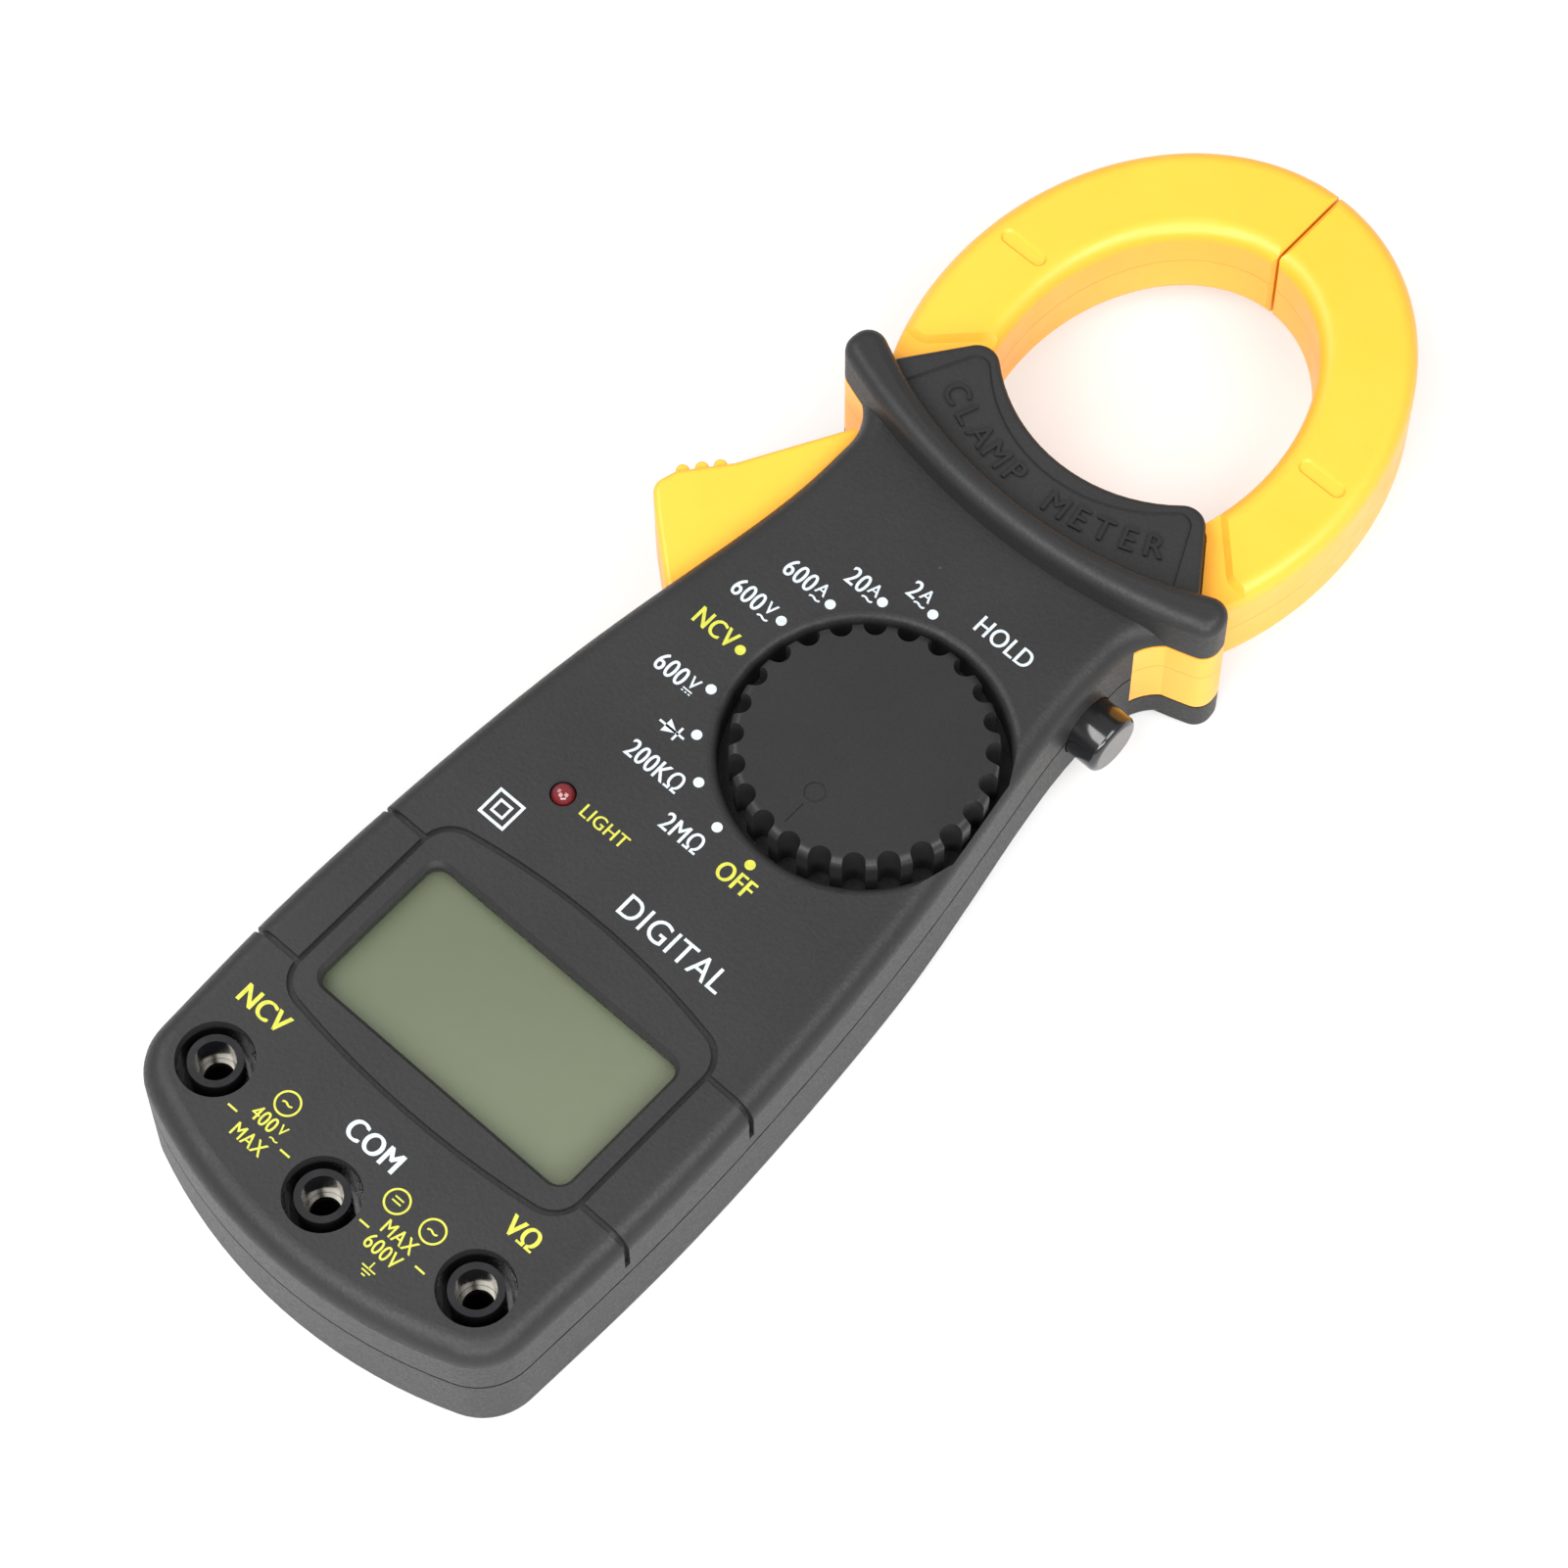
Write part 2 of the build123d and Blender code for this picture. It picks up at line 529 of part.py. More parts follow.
def trigger_tail():
    """The lever below the moving jaw, which ends in the trigger beside the case."""
    z = (JAW_BASE_BACK, JAW_BASE_FRONT)
    outline = [(-25.4, 71.2), (-33.4, 56.9), (-38.3, 50.9), (-39.3, 47.4), (-36.3, 44.6), (-27.6, 37.3),
               (-25.6, 38.0), (-22.4, 50.0), (-18.5, 64.0), (-8.0, 64.0), (-8.0, 71.2)]
    tail = slab(rounded(polygon(outline), [(-39.3, 47.4)], 2.2), z)
    tail = fillet([e for e in edges_at(tail, z[0]) + edges_at(tail, z[1]) if e.center().X < -26.5], 0.9)
    for x, y in ((-34.6, 55.5), (-36.2, 53.6), (-37.8, 51.6)):
        grip = Pos(x, y, PARTING) * Cylinder(0.95, z[1] - z[0] - 1.2)
        tail += fillet(grip.edges(), 0.4)
    return tail


def trigger_spring():
    """The return spring of the trigger, between the tail and its seat in the case."""
    return rod_x(SPRING_X, SPRING_Y, PARTING, SPRING_R) - rod_x(SPRING_X, SPRING_Y, PARTING, SPRING_R - 0.7)


def jaw_parts():
    core_face = ellipse_band(4.2, 3.0)
    core_room = ellipse_band(4.05, 2.85)
    coil_face = ellipse_band(2.1, 1.8)
    coil_room = ellipse_band(1.95, 1.65)
    coil_span = polygon([(-60, 93), (60, 93), (60, 113), (-60, 113)])
    coil_span_room = polygon([(-60, 92.8), (60, 92.8), (60, 113.2), (-60, 113.2)])
    room = slab(core_room, (8.85, 17.15)) + slab(coil_room & coil_span_room, (7.55, 18.45))
    blank = jaw_blank()
    for name, side, root, x in (("moving", -1, trigger_tail(), PIVOT_X), ("fixed", 1, fixed_heel(), -PIVOT_X)):
        area = zone(side)
        column = slab(area, (-5, 40))
        jaw = (blank + root) & column
        jaw -= room
        jaw -= rod(x, PIVOT_Y, (0, 30), PIN_R + 0.06)
        parts[name + "_jaw_front"] = jaw & span((-60, 60), (30, 160), (JAW_PARTING, 40))
        parts[name + "_jaw_back"] = jaw & span((-60, 60), (30, 160), (-10, JAW_PARTING))
        core = slab(core_face, (9.0, 17.0)) & column
        parts[name + "_jaw_core"] = core
        half = polygon([(0, 80), (side * 60, 80), (side * 60, 130), (0, 130)])
        coil = slab(coil_face & coil_span & half, (7.7, 18.3)) - slab(ellipse_band(4.1, 2.9), (8.9, 17.1))
        parts[name + "_jaw_coil"] = coil
    parts["jaw_pivot_pin"] = rod(PIVOT_X, PIVOT_Y, (2.4, 25.4), PIN_R)
    parts["fixed_jaw_pin"] = rod(-PIVOT_X, PIVOT_Y, (2.4, 25.4), PIN_R)
    parts["trigger_spring"] = trigger_spring()


# ---------------------------------------------------------------- the whole meter
parts["front_cover"] = front_cover()
parts["back_cover"] = back_cover()
parts["battery_door"] = battery_door()
parts["battery_door_screw"] = screw(0, -15.2, 1.1, 2.3, 1.15, 1.0, 6.0)
parts["case_screws"] = Compound(children=[screw(x, y, 7.0, 2.3, 1.2, 1.7, 11.0) for x, y in CASE_SCREWS])
parts["board_screws"] = Compound(
    children=[screw(x, y, BOARD_UNDER, 1.8, 0.9, 1.0, 5.5) for x, y in BOARD_SCREWS])
parts["main_board"] = main_board()
lcd_parts()
parts["led_indicator"] = led_indicator()
parts["controller_chip"] = rod(6.0, -1.0, (BOARD_TOP, 16.8), 4.5)
parts["buzzer"] = rod(-11.0, 13.0, (BOARD_TOP, 19.6), 5.5)
parts["jack_block"] = jack_block()
for jack, (jack_x, jack_y) in JACKS.items():
    parts["jack_sleeve_" + jack] = jack_sleeve(jack_x, jack_y)
parts["hold_switch"] = hold_switch()
parts["hold_button"] = hold_button()
parts["hold_plunger"] = rod_x((15.0, 20.4), BUTTON_Y, BUTTON_Z, 1.2)
battery_contacts()
dial_parts()
jaw_parts()

os.makedirs("parts", exist_ok=True)
for node, solid in parts.items():
    export_step(solid, "parts/" + node + ".step")
    print(node, round(solid.volume, 1))
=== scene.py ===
import json
import math
import bpy
from mathutils import Matrix, Vector


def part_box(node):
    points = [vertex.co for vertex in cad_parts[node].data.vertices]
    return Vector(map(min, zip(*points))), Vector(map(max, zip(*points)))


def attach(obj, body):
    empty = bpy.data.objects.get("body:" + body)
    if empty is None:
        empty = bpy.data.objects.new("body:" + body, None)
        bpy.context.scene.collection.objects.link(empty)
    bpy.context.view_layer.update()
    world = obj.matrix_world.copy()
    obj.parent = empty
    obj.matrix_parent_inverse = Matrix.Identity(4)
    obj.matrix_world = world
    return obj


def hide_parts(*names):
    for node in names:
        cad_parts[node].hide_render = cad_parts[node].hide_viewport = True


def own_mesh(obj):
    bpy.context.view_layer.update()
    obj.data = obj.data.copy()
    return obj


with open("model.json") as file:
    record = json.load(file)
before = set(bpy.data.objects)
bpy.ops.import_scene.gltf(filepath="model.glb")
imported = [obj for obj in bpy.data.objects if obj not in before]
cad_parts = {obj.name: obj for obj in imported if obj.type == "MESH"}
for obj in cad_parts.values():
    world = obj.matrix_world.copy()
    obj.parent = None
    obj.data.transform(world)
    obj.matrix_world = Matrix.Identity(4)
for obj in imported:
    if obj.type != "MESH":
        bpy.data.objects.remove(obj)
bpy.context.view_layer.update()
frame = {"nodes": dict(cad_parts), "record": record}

# ---------------------------------------------------------------- sizes (metres)
MM = 0.001
FACE_Z = 23.0 * MM
JAW_PARTING_Z = 14.5 * MM
SLEEVE_DARK_Z = 15.9 * MM
SLEEVE_BRIGHT_Z = 17.0 * MM
PRINT_THICKNESS = 0.03 * MM
COPY_GAP = 0.001 * MM
DIAL_CENTRE = (8.73, 35.75)
DOT_CIRCLE_R = 21.56
DOT_R = 0.72
DETENT_STEP = 18.0
SPRING_WIRE_R = 0.25 * MM
SPRING_TURNS = 3
SPRING_STEPS = 16
FULL_TURN = 2.0 * math.pi
LAMINATION = 0.5 * MM
WIRE_PITCH = 0.32 * MM
RUBBER_PITCH = 0.4 * MM
TOOL_MARKS = 1800.0
LENS_FOOT_Z = 21.8 * MM
LENS_TOP_Z = 24.2 * MM
BATTERY_BAND_X = (9.0 * MM, 9.3 * MM)

LETTER_FILL = 0.727
LETTER_SPACING = 1.06
LABEL = 2.8
RANGE_LABEL = 2.85
NUMBER_HEIGHT = 2.35
NUMBER_WIDTH = {"2": 1.4, "20": 2.8, "600": 4.3, "400": 3.9}
PANEL_LETTER_ARC_R = 38.0
PANEL_LETTER_Y = 77.9
PANEL_LETTER_STEP = 3.5
PANEL_FIELD_Z = 24.5 * MM
PANEL_WORDS = (("CLAMP", -17.4), ("METER", 3.9))

WHITE_INK = (0.46, 0.50, 0.53)
YELLOW_INK = (0.44, 0.44, 0.045)


# ---------------------------------------------------------------- node helpers
class Nodes:
    """Adds nodes to one material, with its Principled shader at hand."""

    def __init__(self, name):
        self.material = bpy.data.materials.new(name)
        self.material.use_nodes = True
        self.tree = self.material.node_tree
        self.shader = self.tree.nodes["Principled BSDF"]

    def add(self, kind, settings=None, **inputs):
        node = self.tree.nodes.new(kind)
        for key, value in (settings or {}).items():
            setattr(node, key, value)
        for key, value in inputs.items():
            self.put(node, key.replace("_", " "), value)
        return node

    def put(self, node, socket, value):
        target = node.inputs[int(socket)] if socket.isdigit() else node.inputs[socket]
        if isinstance(value, bpy.types.NodeSocket):
            self.tree.links.new(value, target)
        else:
            target.default_value = value

    def set(self, **values):
        for key, value in values.items():
            self.put(self.shader, key.replace("_", " "), value)

    def place(self):
        return self.add("ShaderNodeTexCoord").outputs["Object"]

    def noise(self, scale, detail=3.0, rough=0.55, vector=None):
        node = self.add("ShaderNodeTexNoise", Scale=scale, Detail=detail, Roughness=rough,
                        Vector=vector or self.place())
        return node.outputs["Fac"]

    def cells(self, scale):
        return self.add("ShaderNodeTexVoronoi", Scale=scale, Vector=self.place()).outputs["Distance"]

    def remap(self, value, low, high, to_low=0.0, to_high=1.0):
        node = self.add("ShaderNodeMapRange", {"interpolation_type": "SMOOTHSTEP"}, Value=value)
        for index, number in zip((1, 2, 3, 4), (low, high, to_low, to_high)):
            node.inputs[index].default_value = number
        return node.outputs["Result"]

    def math(self, operation, a, b=None):
        node = self.add("ShaderNodeMath", {"operation": operation})
        self.put(node, "0", a)
        if b is not None:
            self.put(node, "1", b)
        return node.outputs[0]

    def blend(self, factor, first, second):
        node = self.add("ShaderNodeMix", {"data_type": "RGBA"})
        self.put(node, "0", factor)
        for index, colour in ((6, first), (7, second)):
            value = colour if isinstance(colour, bpy.types.NodeSocket) else (*colour[:3], 1.0)
            self.put(node, str(index), value)
        return node.outputs[2]

    def bump(self, height, strength, distance, normal=None):
        node = self.add("ShaderNodeBump", Height=height, Strength=strength, Distance=distance)
        if normal is not None:
            self.put(node, "Normal", normal)
        return node.outputs["Normal"]

    def axis(self, name):
        node = self.add("ShaderNodeSeparateXYZ", Vector=self.place())
        return node.outputs[name]


# ---------------------------------------------------------------- materials
def black_plastic(name, tone=0.020, grain=2500.0, grain_depth=0.060, gloss=0.44):
    """Moulded ABS with a fine spark-eroded grain, faint tone changes and a little pale dust."""
    n = Nodes(name)
    cloud = n.noise(45.0, 4.0)
    base = n.blend(n.remap(cloud, 0.3, 0.7), (tone * 0.93, tone * 0.93, tone * 0.94),
                   (tone * 1.08, tone * 1.07, tone * 1.07))
    dust = n.math("MULTIPLY", n.remap(n.cells(170.0), 0.02, 0.045, 1.0, 0.0),
                  n.remap(n.noise(60.0), 0.55, 0.62))
    n.set(Base_Color=n.blend(n.math("MULTIPLY", dust, 0.25), base, (0.12, 0.12, 0.12)))
    fine = n.noise(grain, 2.0, 0.6)
    coarse = n.cells(grain * 0.55)
    height = n.math("ADD", fine, n.math("MULTIPLY", coarse, 0.6))
    n.set(Normal=n.bump(height, 0.55, grain_depth * MM))
    n.set(Roughness=n.remap(fine, 0.3, 0.7, gloss - 0.05, gloss + 0.07))
    n.shader.inputs["Specular IOR Level"].default_value = 0.25
    return n.material


def jaw_plastic():
    """Glossy yellow nylon, slightly translucent, with the moulding seam at mid height."""
    n = Nodes("jaw_yellow")
    cloud = n.noise(30.0, 3.0)
    base = n.blend(n.remap(cloud, 0.3, 0.7), (0.87, 0.378, 0.030), (0.90, 0.402, 0.038))
    off = n.math("ABSOLUTE", n.math("SUBTRACT", n.axis("Z"), JAW_PARTING_Z))
    seam = n.remap(off, 0.05 * MM, 0.16 * MM, 1.0, 0.0)
    n.set(Base_Color=n.blend(n.math("MULTIPLY", seam, 0.35), base, (0.68, 0.25, 0.005)))
    ripple = n.noise(900.0, 2.0)
    normal = n.bump(ripple, 0.25, 0.010 * MM)
    n.set(Normal=n.bump(n.math("MULTIPLY", seam, -1.0), 0.8, 0.10 * MM, normal))
    n.set(Roughness=n.remap(n.noise(260.0, 2.0), 0.3, 0.7, 0.33, 0.42))
    n.shader.inputs["Subsurface Weight"].default_value = 0.12
    n.shader.inputs["Subsurface Radius"].default_value = (1.0, 0.5, 0.1)
    n.shader.inputs["Subsurface Scale"].default_value = 1.2 * MM
    return n.material


def polished_black():
    n = Nodes("polished_black")
    cloud = n.remap(n.noise(80.0), 0.35, 0.65)
    n.set(Base_Color=n.blend(cloud, (0.006, 0.006, 0.007), (0.010, 0.010, 0.011)))
    n.set(Normal=n.bump(n.noise(700.0, 2.0), 0.12, 0.01 * MM))
    n.set(Roughness=n.remap(n.noise(300.0), 0.3, 0.7, 0.12, 0.22))
    n.shader.inputs["Coat Weight"].default_value = 0.4
    n.shader.inputs["Coat Roughness"].default_value = 0.08
    return n.material


def inner_black():
    n = Nodes("inner_black")
    n.set(Base_Color=n.blend(n.noise(200.0), (0.010, 0.010, 0.010), (0.018, 0.018, 0.018)))
    n.set(Roughness=n.remap(n.noise(500.0), 0.3, 0.7, 0.5, 0.65))
    return n.material


def clear_window():
    n = Nodes("clear_window")
    n.set(Base_Color=n.blend(n.noise(40.0), (0.030, 0.034, 0.030), (0.040, 0.044, 0.040)))
    n.set(Roughness=n.remap(n.noise(150.0), 0.3, 0.7, 0.03, 0.07))
    n.shader.inputs["Alpha"].default_value = 0.10
    return n.material


def display_glass():
    """The grey-green reflector of an unlit display, under a faintly satin polariser, with painted shade and
    reflection: darker towards low x and high y, lighter towards high x and low y.
    """
    n = Nodes("display_glass")
    # painted shade and reflection: a colour gradient across the display, darker at one corner and lighter at
    # the opposite one
    painted_shade_slope = n.remap(n.math("SUBTRACT", n.axis("X"), n.axis("Y")), 0.0, 0.045, 0.0, 1.0)
    base = n.blend(painted_shade_slope, (0.125, 0.146, 0.088), (0.150, 0.174, 0.108))
    mottled = n.blend(n.math("MULTIPLY", n.noise(2200.0, 2.0), 0.12), base, (0.10, 0.12, 0.07))
    n.set(Base_Color=mottled)
    n.set(Roughness=n.remap(n.noise(400.0), 0.3, 0.7, 0.36, 0.42))
    n.shader.inputs["Coat Weight"].default_value = 0.25
    n.shader.inputs["Coat Roughness"].default_value = 0.12
    return n.material


def red_lens():
    n = Nodes("red_lens")
    # painted shade: the lens is coloured darker at its foot and lighter towards its top
    painted_shade_depth = n.remap(n.axis("Z"), LENS_FOOT_Z, LENS_TOP_Z)
    n.set(Base_Color=n.blend(painted_shade_depth, (0.05, 0.002, 0.004), (0.17, 0.010, 0.014)))
    n.set(Roughness=n.remap(n.noise(400.0), 0.3, 0.7, 0.08, 0.14))
    n.shader.inputs["Transmission Weight"].default_value = 0.25
    n.shader.inputs["Coat Weight"].default_value = 0.8
    n.shader.inputs["Coat Roughness"].default_value = 0.05
    return n.material


def metal(name, colour, rough):
    """Plated or turned metal, with fine tool marks across it."""
    n = Nodes(name)
    stretch = n.add("ShaderNodeMapping", Vector=n.place())
    stretch.inputs["Scale"].default_value = (1.0, 1.0, 6.0)
    marks = n.noise(TOOL_MARKS, 3.0, 0.6, stretch.outputs[0])
    n.set(Base_Color=n.blend(marks, [c * 0.86 for c in colour], colour))
    n.set(Roughness=n.remap(marks, 0.3, 0.7, rough - 0.05, rough + 0.08))
    n.set(Normal=n.bump(marks, 0.3, 0.01 * MM))
    n.shader.inputs["Metallic"].default_value = 1.0
    return n.material


def sleeve_metal():
    """Plated brass, bright at the mouth of the socket, with painted shade that colours it near black further
    down the hole.
    """
    n = Nodes("plated_brass")
    marks = n.noise(TOOL_MARKS, 3.0, 0.6)
    # painted shade: the metal is coloured near black below the mouth of the socket, where shade falls inside
    # the hole
    painted_shade_depth = n.remap(n.axis("Z"), SLEEVE_DARK_Z, SLEEVE_BRIGHT_Z)
    bright = n.blend(marks, (0.24, 0.23, 0.20), (0.36, 0.34, 0.30))
    n.set(Base_Color=n.blend(painted_shade_depth, (0.012, 0.012, 0.011), bright))
    n.set(Roughness=n.remap(painted_shade_depth, 0.0, 1.0, 0.75, 0.18))
    n.set(Normal=n.bump(marks, 0.3, 0.01 * MM))
    n.shader.inputs["Metallic"].default_value = 1.0
    return n.material


def core_steel():
    """Stacked laminations, seen edge-on as fine lines."""
    n = Nodes("core_steel")
    stripe = n.math("SINE", n.math("MULTIPLY", n.axis("Z"), FULL_TURN / LAMINATION))
    n.set(Base_Color=n.blend(n.remap(stripe, -0.9, 0.2), (0.08, 0.08, 0.085), (0.40, 0.40, 0.42)))
    n.set(Normal=n.bump(stripe, 0.5, 0.05 * MM))
    n.set(Roughness=n.remap(n.noise(900.0), 0.3, 0.7, 0.38, 0.5))
    n.shader.inputs["Metallic"].default_value = 0.9
    return n.material


def coil_copper():
    """Enamelled wire, wound in turns across the core."""
    n = Nodes("coil_copper")
    turns = n.math("SINE", n.math("MULTIPLY", n.axis("Y"), FULL_TURN / WIRE_PITCH))
    n.set(Base_Color=n.blend(n.remap(turns, -0.9, 0.4), (0.12, 0.03, 0.008), (0.62, 0.23, 0.07)))
    n.set(Normal=n.bump(turns, 0.8, 0.12 * MM))
    n.set(Roughness=n.remap(n.noise(900.0), 0.3, 0.7, 0.26, 0.36))
    n.shader.inputs["Metallic"].default_value = 0.7
    return n.material


def circuit_board():
    """Green lacquer over etched tracks."""
    n = Nodes("circuit_board")
    grid = n.add("ShaderNodeTexBrick", Vector=n.place(), Scale=260.0)
    grid.inputs["Color1"].default_value = (0.012, 0.115, 0.040, 1)
    grid.inputs["Color2"].default_value = (0.016, 0.135, 0.048, 1)
    grid.inputs["Mortar"].default_value = (0.030, 0.200, 0.075, 1)
    grid.inputs["Mortar Size"].default_value = 0.06
    n.set(Base_Color=grid.outputs["Color"])
    n.set(Normal=n.bump(grid.outputs["Fac"], 0.3, 0.03 * MM))
    n.set(Roughness=n.remap(n.noise(500.0), 0.3, 0.7, 0.25, 0.4))
    return n.material


def battery_wrap():
    """Printed film: a dark body with a copper-coloured band round one end."""
    n = Nodes("battery_wrap")
    band = n.remap(n.axis("X"), *BATTERY_BAND_X)
    n.set(Base_Color=n.blend(band, (0.018, 0.022, 0.035), (0.52, 0.26, 0.08)))
    n.set(Roughness=n.remap(n.noise(400.0), 0.3, 0.7, 0.22, 0.32))
    n.shader.inputs["Metallic"].default_value = 0.35
    return n.material


def contact_rubber():
    n = Nodes("contact_rubber")
    stripe = n.math("SINE", n.math("MULTIPLY", n.axis("X"), FULL_TURN / RUBBER_PITCH))
    n.set(Base_Color=n.blend(n.remap(stripe, -0.2, 0.2), (0.02, 0.02, 0.02), (0.30, 0.28, 0.26)))
    n.set(Roughness=n.remap(n.noise(900.0), 0.3, 0.7, 0.6, 0.75))
    return n.material


def ink(name, colour):
    """Pad-printed ink, thin enough for the grain below to show."""
    n = Nodes(name)
    darker = tuple(c * 0.86 for c in colour)
    n.set(Base_Color=n.blend(n.remap(n.noise(1400.0, 3.0), 0.35, 0.6), darker, colour))
    n.set(Normal=n.bump(n.noise(3000.0, 2.0), 0.3, 0.02 * MM))
    n.set(Roughness=n.remap(n.noise(800.0), 0.3, 0.7, 0.45, 0.6))
    return n.material


def floor_paper():
    """Pale sweep paper, lit from behind a little so that it stays white under soft light."""
    n = Nodes("floor_paper")
    n.set(Base_Color=n.blend(n.noise(6.0), (0.44, 0.44, 0.44), (0.47, 0.47, 0.47)))
    n.set(Roughness=n.remap(n.noise(60.0), 0.3, 0.7, 0.75, 0.85))
    n.shader.inputs["Emission Color"].default_value = (1, 1, 1, 1)
    n.shader.inputs["Emission Strength"].default_value = 0.40
    return n.material


def dress_cad():
    """Gives every CAD piece the finish of its record slot."""
    finishes = {
        "case_plastic": black_plastic("case_black"),
        "dial_plastic": black_plastic("dial_black", 0.017, 3800.0, 0.020, 0.38),
        "jaw_plastic": jaw_plastic(),
        "gloss_plastic": polished_black(),
        "inner_plastic": inner_black(),
        "clear_window": clear_window(),
        "display_glass": display_glass(),
        "red_lens": red_lens(),
        "circuit_board": circuit_board(),
        "contact_rubber": contact_rubber(),
        "screw_steel": metal("screw_steel", (0.52, 0.52, 0.54), 0.30),
        "spring_steel": metal("spring_steel", (0.60, 0.60, 0.62), 0.26),
        "plated_brass": sleeve_metal(),
        "battery_can": battery_wrap(),
        "core_steel": core_steel(),
        "coil_copper": coil_copper(),
    }
    for part in frame["record"]["subparts"]:
        node = frame["nodes"][part["node"]]
        node.data.materials.clear()
        node.data.materials.append(finishes[part["material_slot"]])


# ---------------------------------------------------------------- mesh helpers
def add_object(name, mesh, material, body):
    piece = bpy.data.objects.new(name, mesh)
    bpy.context.scene.collection.objects.link(piece)
    mesh.materials.clear()
    mesh.materials.append(material)
    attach(piece, body)
    return piece


def curve_mesh(curve):
    """The surface of a curve or text, as a mesh."""
    holder = bpy.data.objects.new("holder", curve)
    bpy.context.scene.collection.objects.link(holder)
    mesh = bpy.data.meshes.new_from_object(holder.evaluated_get(bpy.context.evaluated_depsgraph_get()))
    bpy.data.objects.remove(holder)
    return mesh


def text_mesh(text, size, weight=0.0, squeeze=1.0, thickness=PRINT_THICKNESS):
    """Letters centred on the origin in the XY plane; size is the capital height in millimetres."""
    curve = bpy.data.curves.new("letters", "FONT")
    curve.body = text
    curve.size = size / LETTER_FILL * MM
    curve.align_x = "CENTER"
    curve.space_character = LETTER_SPACING
    curve.align_y = "CENTER"
    curve.extrude = thickness / 2
    curve.resolution_u = 5
    mesh = curve_mesh(curve)
    mesh.transform(Matrix.Diagonal((squeeze, 1, 1, 1)))
    return thicker(mesh, weight * size * MM) if weight else mesh


def thicker(mesh, shift):
    """Bolder letters: two copies a little to the left and the right of each other."""
    verts, faces = [], []
    for move in (Vector((-shift, 0, 0)), Vector((shift, 0, COPY_GAP))):
        start = len(verts)
        verts += [v.co + move for v in mesh.vertices]
        faces += [tuple(start + i for i in p.vertices) for p in mesh.polygons]
    bold = bpy.data.meshes.new("letters")
    bold.from_pydata(verts, [], faces)
    return bold


def prism(points, thickness=PRINT_THICKNESS):
    """A thin flat shape from its outline, in millimetres."""
    half = thickness / 2
    low = [(x * MM, y * MM, -half) for x, y in points]
    high = [(x * MM, y * MM, half) for x, y in points]
    count = len(points)
    sides = [(i, (i + 1) % count, count + (i + 1) % count, count + i) for i in range(count)]
    mesh = bpy.data.meshes.new("prism")
    ends = [tuple(reversed(range(count))), tuple(range(count, 2 * count))]
    mesh.from_pydata(low + high, [], ends + sides)
    return mesh


def rectangle(x0, y0, x1, y1):
    return prism([(x0, y0), (x1, y0), (x1, y1), (x0, y1)])


def ring_points(radius, count=40):
    angles = [FULL_TURN * i / count for i in range(count)]
    return [(radius * math.cos(angle), radius * math.sin(angle)) for angle in angles]


def square_points(half):
    return [(-half, -half), (half, -half), (half, half), (-half, half)]


def outline_mesh(points, width, thickness=PRINT_THICKNESS):
    """A closed line of even width, drawn round a convex outline centred on the origin."""
    scale = 1 - width / min(math.hypot(x, y) * math.cos(math.pi / len(points)) for x, y in points)
    inner = [(x * scale, y * scale) for x, y in points]
    count = len(points)
    half = thickness / 2
    rings = [[(x * MM, y * MM, z) for x, y in loop] for loop in (points, inner) for z in (-half, half)]
    verts = [v for loop in rings for v in loop]
    faces = []
    for i in range(count):
        j = (i + 1) % count
        out_low, out_high, in_low, in_high = i, count + i, 2 * count + i, 3 * count + i
        out_low2, out_high2, in_low2, in_high2 = j, count + j, 2 * count + j, 3 * count + j
        faces += [(out_high, in_high, in_high2, out_high2), (out_low, out_low2, in_low2, in_low),
                  (out_low, out_high, out_high2, out_low2), (in_low, in_low2, in_high2, in_high)]
    mesh = bpy.data.meshes.new("outline")
    mesh.from_pydata(verts, [], faces)
    return mesh


def gather(name, pieces, material, body):
    """Joins placed meshes into one object; each entry is (mesh, matrix)."""
    verts, faces = [], []
    for mesh, matrix in pieces:
        start = len(verts)
        verts += [matrix @ v.co for v in mesh.vertices]
        faces += [tuple(start + i for i in p.vertices) for p in mesh.polygons]
    joined = bpy.data.meshes.new(name)
    joined.from_pydata(verts, [], faces)
    return add_object(name, joined, material, body)


def at(x, y):
    """The place of a print on the front face, in millimetres."""
    return Matrix.Translation((x * MM, y * MM, FACE_Z + PRINT_THICKNESS / 2))


# ---------------------------------------------------------------- printing on the front
def volt_amp(number, unit, x, y, sign, size=RANGE_LABEL):
    """A range label: its number, a smaller raised unit and a sign for the kind of current below it."""
    wide = NUMBER_WIDTH[number] * size / NUMBER_HEIGHT
    parts = [(text_mesh(number, size, 0.02, 0.80), at(x - 0.9, y))]
    unit_x = x - 0.9 + wide / 2 + 0.95
    parts.append((text_mesh(unit, size * 0.66, 0.02, 0.92), at(unit_x, y + 0.42)))
    if sign == "~":
        parts.append((text_mesh("~", size * 0.75, 0.03, 1.0), at(unit_x, y - 1.1)))
    else:
        parts.append((rectangle(-0.75, -0.09, 0.75, 0.09), at(unit_x, y - 0.75)))
        for i in (-1, 0, 1):
            parts.append((rectangle(-0.16, -0.09, 0.16, 0.09), at(unit_x + 0.58 * i, y - 1.15)))
    return parts


def diode_sign(x, y):
    """A diode symbol: a line through a filled triangle and a bar."""
    shapes = (rectangle(-2.1, -0.16, 2.1, 0.16),
              prism([(-1.05, -1.1), (0.85, 0.0), (-1.05, 1.1)]),
              rectangle(0.80, -1.1, 1.15, 1.1))
    return [(shape, at(x, y)) for shape in shapes]


